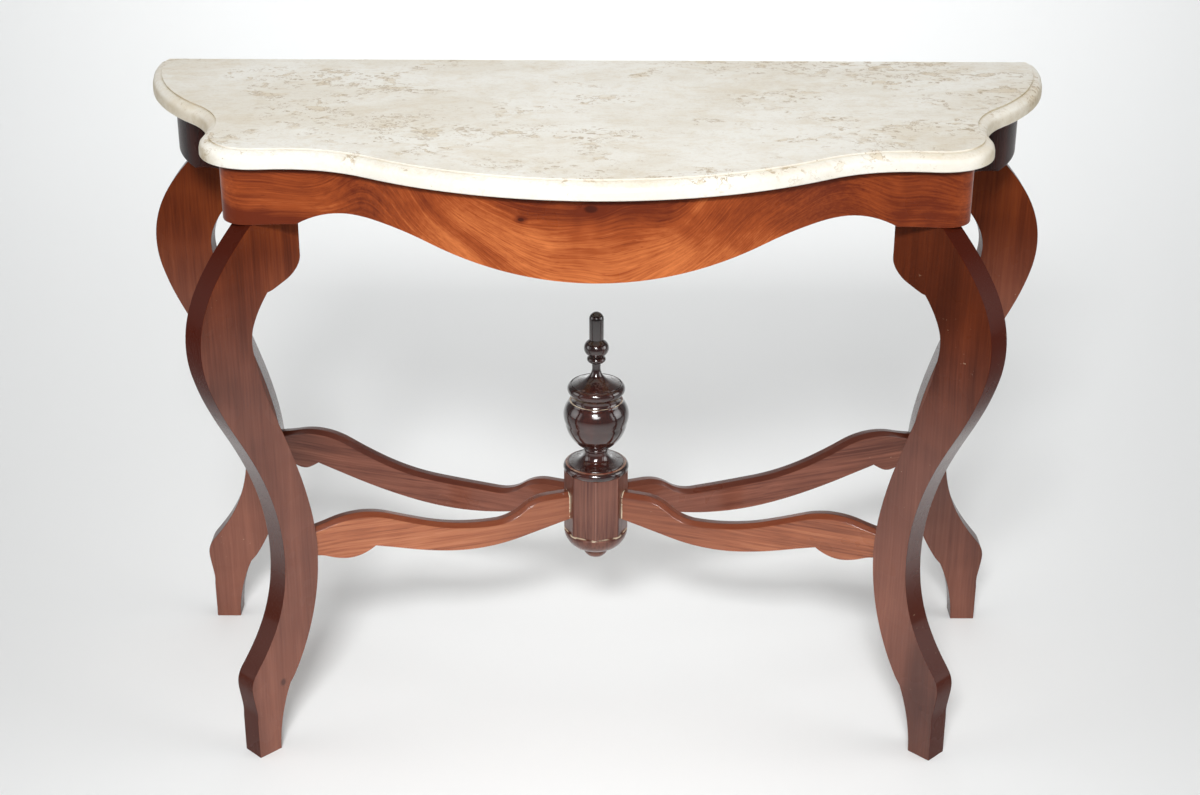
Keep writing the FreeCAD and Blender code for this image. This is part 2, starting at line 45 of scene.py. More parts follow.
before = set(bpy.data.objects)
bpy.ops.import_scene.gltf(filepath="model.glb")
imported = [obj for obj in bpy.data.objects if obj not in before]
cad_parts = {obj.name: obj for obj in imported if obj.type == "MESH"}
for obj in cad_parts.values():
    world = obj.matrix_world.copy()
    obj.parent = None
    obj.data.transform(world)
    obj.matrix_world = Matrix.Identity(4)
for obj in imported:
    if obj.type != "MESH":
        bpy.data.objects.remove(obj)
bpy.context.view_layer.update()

FRAME_BODY = "frame"
TOP_BODY = "top"
CORNERS = ("front_right", "front_left", "rear_right", "rear_left")

# Modelling: lengths in metres and angles in degrees.
TINY = 1e-5              # points closer than this are one point
FLAT_ANGLE = 0.4         # faces that meet flatter than this are one face
SHARP_WOOD = 28          # edges of the wood sharper than this are eased
SHARP_STONE = 40         # and edges of the stone
SMOOTH_SAWN = 32         # sawn edges flatter than this are shaded smooth
SMOOTH_TURNED = 38       # and turned edges
ARRIS_SEGMENTS = 2
GROOVE_REACH = 0.0003    # faces this near to a groove's height lie in the groove


# --------------------------------- places from the frame
def low(node):
    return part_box(node)[0]


def high(node):
    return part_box(node)[1]


STONE_LOW = low("marble_top").z
STONE_HIGH = high("marble_top").z
FRAME_LOW = low("back_rail").z
CROSSING = (low("centre_block") + high("centre_block")) / 2
BLOCK_RADIUS = high("centre_block").x
BLOCK_FACET = BLOCK_RADIUS * math.cos(math.pi / 8)
BLOCK_TOP = high("centre_block").z
PENDANT_DROP = 0.042     # height of the turned end below the block's facets
FINIAL_BASE = 0.0285     # height of the round base under the urn
BLOCK_BOTTOM = low("centre_block").z + PENDANT_DROP
FLOOR = 0.0

# --------------------------------- what differs by piece
# Each leg's turn about Z, the height where its upper finish is full and the painted sheen of the
# lower colours is gone, how much darker that is, the gloss of its sawn edges, and its knot as X,
# height and size.
LEG_LOOKS = {
    "front_right": (-math.pi / 4, 0.62, 0.25, 1.00, (0.412, 0.070, 0.0022)),
    "front_left": (math.pi / 4, 0.71, 0.0, 0.84, (-0.395, 0.095, 0.0030)),
    "rear_right": (0.0, 0.62, 0.25, 0.84, None),
    "rear_left": (0.0, 0.62, 0.25, 0.84, None),
}
UPPER_FADE = 0.24        # height over which the legs' lower colours, with their painted sheen, become the upper ones
RED_EDGES = (0.44, 0.56)     # the edges' stained colour turns redder between these heights
EDGE_SHINE = (0.20, 0.28, 0.42, 0.53)  # the edges' shine starts, is full, fades and ends
# The front apron's knots, as X, height and size.
APRON_KNOTS = ((-0.006, FRAME_LOW + 0.057, 0.0048), (-0.083, FRAME_LOW + 0.042, 0.0024))
SEED_STEP = (0.31, 0.17, 0.23)  # how far each seed moves the grain
PORE_DEPTH = 0.0003
POLISH_ROUGHNESS = 0.10

# -------------------------------------------- the studio
# Lengths in metres, angles in degrees, power in watts.
BACKDROP_HEIGHT = 0.7    # as a share of the floor's width
SWEEP_RADIUS = 1.6       # reach of the curve between the floor and the backdrop
SWEEP_SEGMENTS = 16
WORLD_STRENGTH = 0.20
CAMERA_PLACE = (0.0036, -2.369, 1.514)
CAMERA_PITCH_DOWN = 24.52
CAMERA_TURN = -0.03
CAMERA_ROLL = 0.25
CAMERA_SENSOR = 36.0     # millimetres, as is the lens
CAMERA_LENS = 62.1
# Name, place, aim, width, depth, power and spread.
LIGHTS = (
    ("overhead", (0.0, 0.6, 3.2), (0.0, 0.25, 0.0), 3.0, 1.8, 4.7, 95),
    ("soft_box", (-0.3, -3.2, 2.8), (0.0, 0.4, 0.3), 0.9, 0.5, 30, 90),
    ("floor_fill", (0.0, -2.1, 1.3), (0.0, -0.15, 0.0), 1.2, 0.5, 1.5, 34),
    ("backdrop_light", (0.0, 2.0, 3.6), (0.0, 4.2, 0.3), 3.0, 1.0, 67, 125),
    ("left_window", (-3.2, -0.6, 1.3), (0.0, 0.0, 0.35), 2.6, 2.2, 5, 70),
    ("right_window", (3.2, -0.6, 1.3), (0.0, 0.0, 0.35), 2.6, 2.2, 8.5, 70),
)


# ---------------------------------------------- settings
class PierTableSizes(bpy.types.PropertyGroup):
    """Sizes of the finish that the construction leaves open."""

    arris: bpy.props.FloatProperty(
        name="Arris", description="Width of the worn bevel on the sawn edges of the wood",
        default=0.0009, unit="LENGTH")
    stone_arris: bpy.props.FloatProperty(
        name="Stone arris", description="Width of the softened edges of the stone",
        default=0.0005, unit="LENGTH")
    block_arris: bpy.props.FloatProperty(
        name="Block arris", description="Width of the worn bevel on the octagonal block",
        default=0.0011, unit="LENGTH")
    turning_sides: bpy.props.IntProperty(
        name="Turning sides", description="Sides of the turned pieces", default=96)
    floor_size: bpy.props.FloatProperty(
        name="Floor", description="Width of the studio floor", default=9.0, unit="LENGTH")


def colour(name, description, default):
    """A colour setting in the panel."""
    return bpy.props.FloatVectorProperty(
        name=name, description=description, default=default, subtype="COLOR", size=3,
        min=0.0, max=1.0)


class PierTableColours(bpy.types.PropertyGroup):
    """Colours of the finishes, as linear light."""

    stone_cream: colour("Stone cream", "Ground colour of the stone", (0.81, 0.76, 0.655))
    # This pale colour also paints the highlight on the stone's front edge.
    stone_pale: colour("Stone pale", "Pale clouds in the stone", (0.90, 0.875, 0.80))
    stone_tan: colour("Stone tan", "Warm patches in the stone", (0.64, 0.51, 0.315))
    stone_fleck: colour("Stone fleck", "Brown flecks in the stone", (0.37, 0.245, 0.105))
    # This colour is grime with painted shade in the stone's groove, darker tan on its sides, and
    # the colour of its pits.
    stone_grime: colour(
        "Stone grime", "Grime in the stone's groove and on its sides", (0.42, 0.33, 0.19))
    apron_light: colour("Apron light", "Light figure of the front apron", (0.60, 0.175, 0.052))
    apron_mid: colour("Apron middle", "Middle tone of the front apron", (0.31, 0.063, 0.0155))
    apron_dark: colour("Apron dark", "Dark figure of the front apron", (0.135, 0.022, 0.007))
    # The legs' lower-half colours hold a painted sheen: paler and greyer than the upper ones, as
    # if the polish reflected the floor.
    leg_light: colour("Leg light", "Light figure of the legs' lower half", (0.245, 0.086, 0.052))
    leg_mid: colour("Leg middle", "Middle tone of the legs' lower half", (0.150, 0.047, 0.027))
    leg_dark: colour("Leg dark", "Dark figure of the legs' lower half", (0.070, 0.016, 0.008))
    leg_top_light: colour(
        "Leg top light", "Light figure of the legs' upper half", (0.250, 0.055, 0.014))
    leg_top_mid: colour(
        "Leg top middle", "Middle tone of the legs' upper half", (0.128, 0.025, 0.0075))
    leg_top_dark: colour(
        "Leg top dark", "Dark figure of the legs' upper half", (0.042, 0.008, 0.003))
    arm_light: colour(
        "Arm light", "Light figure of the front stretcher arms", (0.46, 0.172, 0.082))
    arm_mid: colour("Arm middle", "Middle tone of the front stretcher arms", (0.33, 0.105, 0.046))
    arm_dark: colour("Arm dark", "Dark figure of the front stretcher arms", (0.13, 0.032, 0.013))
    arm_band: colour(
        "Arm band", "Bevelled bands along the top of the front arms", (0.155, 0.030, 0.010))
    block_light: colour(
        "Block light", "Light streaks of the octagonal block", (0.225, 0.088, 0.057))
    block_dark: colour("Block dark", "Dark streaks of the octagonal block", (0.062, 0.016, 0.011))
    finial_red: colour(
        "Finial red", "Red patches where the finial's stain is thin", (0.130, 0.023, 0.011))
    finial_black: colour("Finial black", "The dark stain of the finial", (0.012, 0.004, 0.004))
    dust: colour("Dust", "Dust on the ledges of the finial", (0.105, 0.082, 0.070))
    # This stain colour also paints the shadow under the stone top on the front apron.
    stain: colour("Stain", "Dark stain on sawn edges, crowns and rails", (0.045, 0.008, 0.004))
    red_stain: colour(
        "Red stain", "Stain at the top of the legs' outer edges", (0.060, 0.0085, 0.0035))
    glue_line: colour(
        "Glue line", "Pale line round the arms' joints at the block", (0.74, 0.64, 0.47))
    # This bare-wood colour is also painted on the arrises as highlights.
    worn_wood: colour(
        "Worn wood", "Bare wood where the polish has worn through", (0.72, 0.50, 0.33))
    softwood_light: colour("Softwood light", "Early wood of the inner frame", (0.46, 0.30, 0.16))
    softwood_dark: colour("Softwood dark", "Late wood of the inner frame", (0.27, 0.145, 0.065))
    floor_white: colour("Floor", "Studio floor and backdrop", (0.83, 0.84, 0.84))


def sizes():
    return bpy.context.scene.pier_table_sizes


def tint(name):
    """A colour setting with an opaque alpha."""
    return (*getattr(bpy.context.scene.pier_table_colours, name), 1.0)


# --------------------------------------- shader building
# A Mix node has a set of sockets for each kind of data.  These belong to colours.
MIX_FACTOR, MIX_FIRST, MIX_SECOND, MIX_RESULT = 0, 6, 7, 2


class Number:
    """A number that varies over a surface.  Arithmetic on it adds Math nodes."""

    def __init__(self, finish, socket):
        self.finish = finish
        self.socket = socket

    def math(self, operation, first, second=0.0):
        node = self.finish.node("Math", {"operation": operation}, {0: first, 1: second})
        return Number(self.finish, node.outputs[0])

    def __add__(self, other):
        return self.math("ADD", self, other)

    def __radd__(self, other):
        return self.math("ADD", other, self)

    def __sub__(self, other):
        return self.math("SUBTRACT", self, other)

    def __rsub__(self, other):
        return self.math("SUBTRACT", other, self)

    def __mul__(self, other):
        return self.math("MULTIPLY", self, other)

    def __rmul__(self, other):
        return self.math("MULTIPLY", other, self)

    def __truediv__(self, other):
        return self.math("DIVIDE", self, other)

    def __pow__(self, other):
        return self.math("POWER", self, other)

    def __abs__(self):
        return self.math("ABSOLUTE", self)

    def root(self):
        return self.math("SQRT", self)

    def larger(self, other):
        return self.math("MAXIMUM", self, other)


class Finish:
    """A material and the nodes that make it."""

    def __init__(self, name):
        self.material = bpy.data.materials.new(name)
        self.material.use_nodes = True
        self.tree = self.material.node_tree
        self.tree.nodes.clear()
        self.place = self.node("TexCoord").outputs["Object"]

    def node(self, kind, settings=None, sockets=None):
        """Any node: its settings are made first, and then its sockets are set or linked."""
        node = self.tree.nodes.new("ShaderNode" + kind)
        for key, setting in (settings or {}).items():
            if key == "stops":
                ramp = node.color_ramp
                while len(ramp.elements) < len(setting):
                    ramp.elements.new(1.0)
                for element, (position, shade) in zip(ramp.elements, setting):
                    element.position = position
                    element.color = shade
            else:
                setattr(node, key, setting)
        for key, value in (sockets or {}).items():
            if isinstance(value, Number):
                value = value.socket
            if isinstance(value, bpy.types.NodeSocket):
                self.tree.links.new(value, node.inputs[key])
            else:
                node.inputs[key].default_value = value
        return node

    def axes(self, vector):
        """The three parts of a vector as numbers."""
        split = self.node("SeparateXYZ", None, {0: vector})
        return [Number(self, socket) for socket in split.outputs]

    def facing(self):
        """The three parts of the direction that the surface faces."""
        return self.axes(self.node("TexCoord").outputs["Normal"])

    def moved(self, vector, shift=(0, 0, 0), turn=(0, 0, 0)):
        """The vector turned about the origin and then shifted."""
        sockets = {"Vector": vector, "Location": shift, "Rotation": turn}
        return self.node("Mapping", None, sockets).outputs[0]

    def vector_math(self, operation, first, second):
        node = self.node("VectorMath", {"operation": operation}, {0: first, 1: second})
        return node.outputs[0]

    def stretched(self, vector, factors):
        return self.vector_math("MULTIPLY", vector, factors)

    def noise(self, vector, scale, detail=2.0, roughness=0.5, distortion=0.0):
        """Noise over a vector, about 0.5 and mostly between 0.3 and 0.7."""
        node = self.node("TexNoise", None, {
            "Vector": vector, "Scale": scale, "Detail": detail, "Roughness": roughness,
            "Distortion": distortion})
        return Number(self, node.outputs[0])

    def waved(self, vector, scale, amount):
        """The vector pushed about by a slow noise."""
        drift = self.node("TexNoise", None, {"Vector": vector, "Scale": scale, "Detail": 2.0})
        centred = self.vector_math("SUBTRACT", drift.outputs["Color"], (0.5, 0.5, 0.5))
        push = self.node("VectorMath", {"operation": "SCALE"}, {0: centred, "Scale": amount})
        return self.vector_math("ADD", vector, push.outputs[0])

    def joined(self, x, y, z):
        """A vector from three numbers."""
        return self.node("CombineXYZ", None, {0: x, 1: y, 2: z}).outputs[0]

    def rise(self, value, start, end):
        """0 below start, 1 above end and smooth between them; end may be the lower one."""
        node = self.node("MapRange", {"interpolation_type": "SMOOTHSTEP"}, {
            "Value": value, "From Min": start, "From Max": end})
        return Number(self, node.outputs[0])

    def mix(self, factor, first, second):
        """A colour between two colours."""
        node = self.node("Mix", {"data_type": "RGBA"}, {
            MIX_FACTOR: factor, MIX_FIRST: first, MIX_SECOND: second})
        return node.outputs[MIX_RESULT]

    def shades(self, value, stops):
        """A colour from a ramp of (position, colour) stops."""
        return self.node("ValToRGB", {"stops": stops}, {0: value}).outputs[0]

    def bump(self, height, strength, distance):
        return self.node("Bump", None, {
            "Height": height, "Strength": strength, "Distance": distance}).outputs[0]

    def end(self, **sockets):
        """Ends the material in a Principled shader with these sockets."""
        named = {key.replace("_", " "): value for key, value in sockets.items()}
        shader = self.node("BsdfPrincipled", None, named)
        self.node("OutputMaterial", None, {"Surface": shader.outputs[0]})
        return self.material


# ----------------------------------------- wood finishes
class Timber:
    """Solid wood grain along X or Z: streaks, fibres, pores and slow changes of tone."""

    def __init__(self, finish, plank, upright, seed):
        seeded = finish.moved(plank, tuple(step * seed for step in SEED_STEP))
        grown = finish.waved(seeded, 3.0, 0.018)

        def stretch(along, sideways):
            """Waves in a metre, along and across the grain."""
            factors = (sideways, sideways, along) if upright else (along, sideways, sideways)
            return finish.stretched(grown, factors)

        self.streaks = finish.noise(stretch(1.6, 46.0), 1.0, 4.0, 0.62, 0.25)
        self.fibres = finish.noise(stretch(7.0, 330.0), 1.0, 3.0, 0.6)
        self.pores = finish.rise(finish.noise(stretch(46.0, 1150.0), 1.0, 1.0, 0.4), 0.60, 0.72)
        self.tone = finish.noise(stretch(1.5, 6.0), 1.0, 3.0, 0.5, 0.5)
        self.flame = finish.noise(stretch(17.0, 5.0), 1.0, 1.0, 0.5, 0.4)

    def figure(self, streaks=0.34, fibres=0.24, tone=0.30, flame=0.12):
        """One number from dark to light wood, in these proportions."""
        total = streaks + fibres + tone + flame
        mixed = self.streaks * streaks + self.fibres * fibres
        mixed = mixed + self.tone * tone + self.flame * flame
        return mixed / total - self.pores * 0.035

    def height(self):
        """Relief of the fibres, with the pores sunk."""
        return self.fibres * 0.35 - self.pores


def plank_place(finish, turn):
    """Coordinates from the crossing, along a plank that stands turned about Z."""
    from_centre = finish.moved(finish.place, (-CROSSING.x, -CROSSING.y, 0.0))
    return finish.moved(from_centre, turn=(0, 0, -turn))


def wood_shades(finish, value, dark, middle, light, spread):
    """The named colours, at 0.5 and at spread to both sides of it."""
    stops = [(0.5 - spread, tint(dark)), (0.5, tint(middle)), (0.5 + spread, tint(light))]
    return finish.shades(value, stops)


def polished(finish, wood, shade, roughness, coat, relief, specular=0.2):
    """French polish over open pores, a little uneven."""
    uneven = finish.noise(finish.place, 9.0, 3.0, 0.6)
    rough = roughness + uneven * 0.12 - 0.04 + wood.pores * 0.10
    return finish.end(
        Base_Color=shade, Roughness=rough, Specular_IOR_Level=specular, Coat_Weight=coat,
        Coat_Roughness=POLISH_ROUGHNESS, Normal=finish.bump(wood.height(), relief, PORE_DEPTH))


def from_crossing(finish):
    """Distance from the upright line through the crossing."""
    x, y, _ = finish.axes(finish.place)
    return ((x - CROSSING.x) ** 2.0 + (y - CROSSING.y) ** 2.0).root()


def from_knot(x, height, knot, wide, tall):
    """Distance from a knot of these proportions, in sizes of the knot."""
    knot_x, knot_height, size = knot
    across = ((x - knot_x) / (size * wide)) ** 2.0
    upwards = ((height - knot_height) / (size * tall)) ** 2.0
    return (across + upwards).root()


def worn_edge_and_highlight(name, shade_name, amount, near_block=0.0):
    """Arris where the polish is rubbed down to bare wood in patches, which also stand in as
    painted highlights.

    near_block adds wear at the arms' joints and at the foot of the block's facets.
    """
    finish = Finish(name)
    patches = finish.noise(finish.place, 30.0, 4.0, 0.65)
    nibs = finish.noise(finish.place, 260.0, 2.0, 0.5)
    height = finish.axes(finish.place)[2]
    at_joint = finish.rise(from_crossing(finish), BLOCK_RADIUS * 1.6, BLOCK_RADIUS * 1.15)
    at_foot = finish.rise(height, BLOCK_BOTTOM + 0.004, BLOCK_BOTTOM + 0.001)
    rubbed = at_joint.larger(at_foot) * near_block
    more = 0.3 * amount
    # The pale patches are partly wear and partly painted highlight along the arris.
    bare = finish.rise(patches * 0.75 + nibs * 0.25 + rubbed, 0.66 - more, 0.80 - more)
    shade = finish.mix(bare, tint(shade_name), tint("worn_wood"))
    return finish.end(
        Base_Color=shade, Roughness=bare * 0.25 + 0.24, Coat_Weight=0.4,
        Coat_Roughness=POLISH_ROUGHNESS)


def plank_facing(finish, turn):
    """1 on a plank's broad faces and 0 on its sawn edges."""
    normal = finish.node("TexCoord").outputs["Normal"]
    across = finish.axes(finish.moved(normal, turn=(0, 0, -turn)))[1]
    return finish.rise(abs(across), 0.45, 0.80)


def scuffed(finish, shade, place):
    """A few pale rubs in the polish."""
    rubs = finish.rise(finish.noise(place, 120.0, 3.0, 0.7), 0.69, 0.75)
    rubs = rubs * finish.rise(finish.noise(finish.place, 9.0, 1.0), 0.53, 0.66)
    return finish.mix(rubs * 0.6, shade, tint("worn_wood"))


def leg_finish(name, seed, turn, upper_from, depth, edge_gloss, knot):
    """Upright straight grain, darker above, with a painted hazy sheen below and stained, glossy
    edges.
    """
    finish = Finish(name)
    wood = Timber(finish, plank_place(finish, turn), True, seed)
    figure = wood.figure(streaks=0.24, fibres=0.20, tone=0.44, flame=0.12)
    x, _, height = finish.axes(finish.place)
    # Painted sheen: the lower colours are paler and greyer for the floor's reflection in the
    # polish, and give way to the darker upper colours above upper_from.
    lower = wood_shades(finish, figure, "leg_dark", "leg_mid", "leg_light", 0.15)
    upper = wood_shades(finish, figure, "leg_top_dark", "leg_top_mid", "leg_top_light", 0.15)
    upper = finish.mix(depth, upper, tint("leg_top_dark"))
    shade = finish.mix(finish.rise(height, upper_from - UPPER_FADE, upper_from), lower, upper)
    broad = plank_facing(finish, turn)
    edge_shade = finish.mix(wood.tone * 0.7, tint("stain"), tint("leg_dark"))
    high_up = finish.rise(height, *RED_EDGES)
    edge_shade = finish.mix(high_up * (wood.streaks * 0.8 + 0.4), edge_shade, tint("red_stain"))
    dark_runs = finish.rise(wood.tone, 0.43, 0.33)
    shade = finish.mix(dark_runs * 0.45, shade, tint("leg_top_dark"))
    shade = finish.mix(broad, edge_shade, shade)
    shade = scuffed(finish, shade, finish.stretched(finish.place, (1.0, 1.0, 2.5)))
    if knot:
        spread = from_knot(x, height, knot, 1.0, 1.8)
        shade = finish.mix(finish.rise(spread, 1.3, 0.5) * 0.8, shade, tint("stain"))
    face_coat = finish.rise(height, upper_from, upper_from - UPPER_FADE) * 0.92 + 0.04
    starts, full, fades, ends = EDGE_SHINE
    edge_coat = finish.rise(height, starts, full) * finish.rise(height, ends, fades)
    edge_coat = edge_coat * edge_gloss + 0.16 - high_up * 0.12
    coat = face_coat * broad + edge_coat * (1.0 - broad)
    return polished(finish, wood, shade, roughness=0.25, coat=coat, relief=0.14, specular=0.05)


def arm_finish(name, turn, seed, tones, band_name, depth):
    """Grain along the arm, darker on its bevels and crown, with glue at the block."""
    finish = Finish(name)
    plank = plank_place(finish, turn)
    wood = Timber(finish, plank, False, seed)
    figure = wood.figure(streaks=0.34, fibres=0.38, tone=0.20, flame=0.08)
    shade = wood_shades(finish, figure, *tones, 0.11)
    shade = finish.mix(depth, shade, tint("leg_mid"))
    upward = finish.facing()[2]
    band = finish.rise(upward, 0.30, 0.60) * finish.rise(upward, 0.96, 0.90)
    band_shade = finish.mix(wood.streaks, tint(band_name), tint(tones[0]))
    shade = finish.mix(band * 0.85, shade, band_shade)
    crown = finish.rise(upward, 0.90, 0.96)
    shade = finish.mix(crown * 0.80, shade, tint("stain"))
    near = finish.rise(from_crossing(finish), 0.24, 0.06)
    shade = finish.mix(near * 0.45, shade, tint("leg_mid"))
    along = finish.axes(plank)[0]
    glue = finish.rise(along, BLOCK_FACET + 0.0017, BLOCK_FACET + 0.0008)
    glue = glue * finish.rise(finish.noise(finish.place, 140.0, 3.0, 0.6), 0.40, 0.50)
    shade = finish.mix(glue * 0.85, shade, tint("glue_line"))
    shade = scuffed(finish, shade, finish.stretched(plank, (0.3, 1.0, 2.0)))
    return polished(finish, wood, shade, roughness=0.27, coat=0.45, relief=0.25)


def apron_finish():
    """Feather figure that sweeps down to the middle from both sides, with two knots."""
    finish = Finish("figured_mahogany")
    x, y, z = finish.axes(finish.place)
    drift = finish.noise(finish.place, 5.0, 1.0) * 0.05
    feather = finish.rise(abs(x + 0.015) + drift, 0.045, 0.30) * 0.15
    ends = finish.noise(finish.stretched(finish.place, (3.2, 1.0, 2.4)), 2.6, 0.0) * 0.09
    spreads = []
    lift = 0.0
    for knot in APRON_KNOTS:
        spread = from_knot(x, z, knot, 1.7, 1.0)
        spreads.append(spread)
        lift = finish.rise(spread, 6.0, 0.0) * knot[2] * 1.3 + lift
    # The grain follows level, which bends the wood's height round the feather and knots.
    level = z - feather - ends + lift
    bands = finish.noise(finish.joined(x * 3.0, 4.0, level * 70.0), 1.0, 1.0, 0.5)
    lines = finish.noise(finish.joined(x * 6.0, 2.0, level * 520.0), 1.0, 3.0, 0.65)
    clouds = finish.noise(finish.stretched(finish.place, (1.0, 1.0, 1.6)), 9.0, 3.0, 0.6, 0.6)
    wood = Timber(finish, finish.joined(x, y, level), False, 2.0)
    figure = bands * 0.11 + lines * 0.30 + wood.fibres * 0.18 + wood.streaks * 0.07
    figure = figure + clouds * 0.34 - wood.pores * 0.04
    # The apron darkens towards its ends: partly darker wood and partly painted shade where the bow
    # turns from the light.
    ends_dark_wood_and_shade = finish.rise(abs(x + 0.03), 0.09, 0.32) * 0.055
    ends_dark_wood_and_shade = ends_dark_wood_and_shade + finish.rise(x, 0.10, 0.34) * 0.035
    slow = finish.noise(finish.joined(x * 3.0, 1.0, level * 11.0), 1.0, 1.0)
    shadow = finish.rise(slow, 0.48, 0.62) * 0.13
    # Painted sheen: low in the middle the apron is lighter, partly paler wood and partly a painted
    # reflection.
    pale_wood_and_sheen = finish.rise(z, FRAME_LOW + 0.050, FRAME_LOW - 0.010)
    pale_wood_and_sheen = pale_wood_and_sheen * finish.rise(abs(x), 0.32, 0.08) * 0.11
    figure = figure - ends_dark_wood_and_shade - shadow + pale_wood_and_sheen
    for spread in spreads:
        figure = figure - finish.rise(spread, 2.6, 0.9) * 0.12
    shade = wood_shades(finish, figure, "apron_dark", "apron_mid", "apron_light", 0.15)
    for spread in spreads:
        shade = finish.mix(finish.rise(spread, 1.15, 0.6) * 0.85, shade, tint("stain"))
    # Painted shadow: the top of the apron, under the stone's overhang, is darkened to the stain
    # colour.
    painted_shadow_under_stone = finish.rise(z, STONE_LOW - 0.010, STONE_LOW - 0.002)
    shade = finish.mix(painted_shadow_under_stone * 0.90, shade, tint("stain"))
    return polished(finish, wood, shade, roughness=0.27, coat=0.06, relief=0.16, specular=0.14)


def dark_rail_finish():
    """The side aprons, almost black."""
    finish = Finish("stained_mahogany")
    wood = Timber(finish, finish.place, True, 5.0)
    thin = finish.rise(wood.figure(), 0.42, 0.66)
    shade = finish.mix(thin, tint("finial_black"), tint("stain"))
    return polished(finish, wood, shade, roughness=0.25, coat=0.02, relief=0.14, specular=0.03)


def block_finish():
    """Upright grain with fine dark streaks, darker on the slanted facets and stained on the turned
    end.
    """
    finish = Finish("block_mahogany")
    wood = Timber(finish, plank_place(finish, 0.4), True, 7.0)
    streaks = wood.streaks * 0.26 + wood.fibres * 0.34 + wood.tone * 0.20 + wood.flame * 0.20
    shade = finish.shades(streaks, [(0.38, tint("block_dark")), (0.58, tint("block_light"))])
    facing = finish.facing()
    slanted = finish.rise(abs(facing[0] * facing[1]), 0.28, 0.44)
    slanted = slanted * finish.rise(facing[2], -0.3, -0.1)
    height = finish.axes(finish.place)[2]
    turned = finish.rise(height, BLOCK_BOTTOM, BLOCK_BOTTOM - 0.003)
    shade = finish.mix((slanted * 0.75).larger(turned * 0.35), shade, tint("stain"))
    # A broken pale line follows the foot of the eight facets.
    x, y, _ = finish.axes(finish.moved(finish.place, (-CROSSING.x, -CROSSING.y, 0.0)))
    steep, shallow = math.cos(math.pi / 8), math.sin(math.pi / 8)
    from_middle = (abs(x) * steep + abs(y) * shallow).larger(abs(x) * shallow + abs(y) * steep)
    line = finish.rise(abs(height - BLOCK_BOTTOM), 0.0014, 0.0006)
    line = line * finish.rise(from_middle, BLOCK_FACET + 0.0016, BLOCK_FACET + 0.0008)
    line = line * finish.rise(finish.noise(finish.place, 75.0, 3.0, 0.6), 0.42, 0.56)
    shade = finish.mix(line * 0.70, shade, tint("glue_line"))
    coat = 0.95 - (slanted * 0.7).larger(turned * 0.45)
    return polished(finish, wood, shade, roughness=0.30, coat=coat, relief=0.25)


def finial_finish():
    """Very dark stained finish under a high gloss, red where it is thin and dusty on the ledges.
    """
    finish = Finish("dark_gloss")
    wood = Timber(finish, finish.place, True, 3.0)
    thin = finish.rise(wood.tone * 0.8 + wood.fibres * 0.2, 0.36, 0.68)
    shade = finish.mix(thin, tint("finial_black"), tint("finial_red"))
    dust = finish.rise(finish.facing()[2], 0.70, 0.95)
    dust = dust * finish.rise(finish.noise(finish.place, 110.0, 5.0, 0.75), 0.46, 0.66)
    shade = finish.mix(dust * 0.40, shade, tint("dust"))
    return finish.end(
        Base_Color=shade, Roughness=dust * 0.35 + 0.15, Specular_IOR_Level=0.50,
        Coat_Weight=1.0 - dust * 0.6, Coat_Roughness=0.07,
        Normal=finish.bump(wood.fibres, 0.06, PORE_DEPTH))


def pale_line_finish():
    """Light wood in the turned grooves, brighter on the urn than on the base."""
    finish = Finish("rubbed_groove")
    patches = finish.noise(finish.place, 70.0, 3.0, 0.6)
    height = finish.axes(finish.place)[2]
    on_urn = finish.rise(height, BLOCK_TOP + FINIAL_BASE, BLOCK_TOP + FINIAL_BASE * 1.5) * 0.75
    bare = finish.rise(patches, 0.36, 0.62) * (on_urn + 0.25)
    shade = finish.mix(bare, tint("finial_red"), tint("glue_line"))
    return finish.end(
        Base_Color=shade, Roughness=0.4, Coat_Weight=0.3, Coat_Roughness=POLISH_ROUGHNESS)


def softwood_finish(name, turn):
    """Plain planed softwood of the inner frame."""
    finish = Finish(name)
    wood = Timber(finish, plank_place(finish, turn), False, 4.0)
    figure = wood.streaks * 0.5 + wood.fibres * 0.25 + wood.tone * 0.25
    stops = [(0.38, tint("softwood_dark")), (0.58, tint("softwood_light"))]
    shade = finish.shades(figure, stops)
    return finish.end(
        Base_Color=shade, Roughness=0.62 + wood.tone * 0.12,
        Normal=finish.bump(wood.fibres, 0.3, 0.0005))


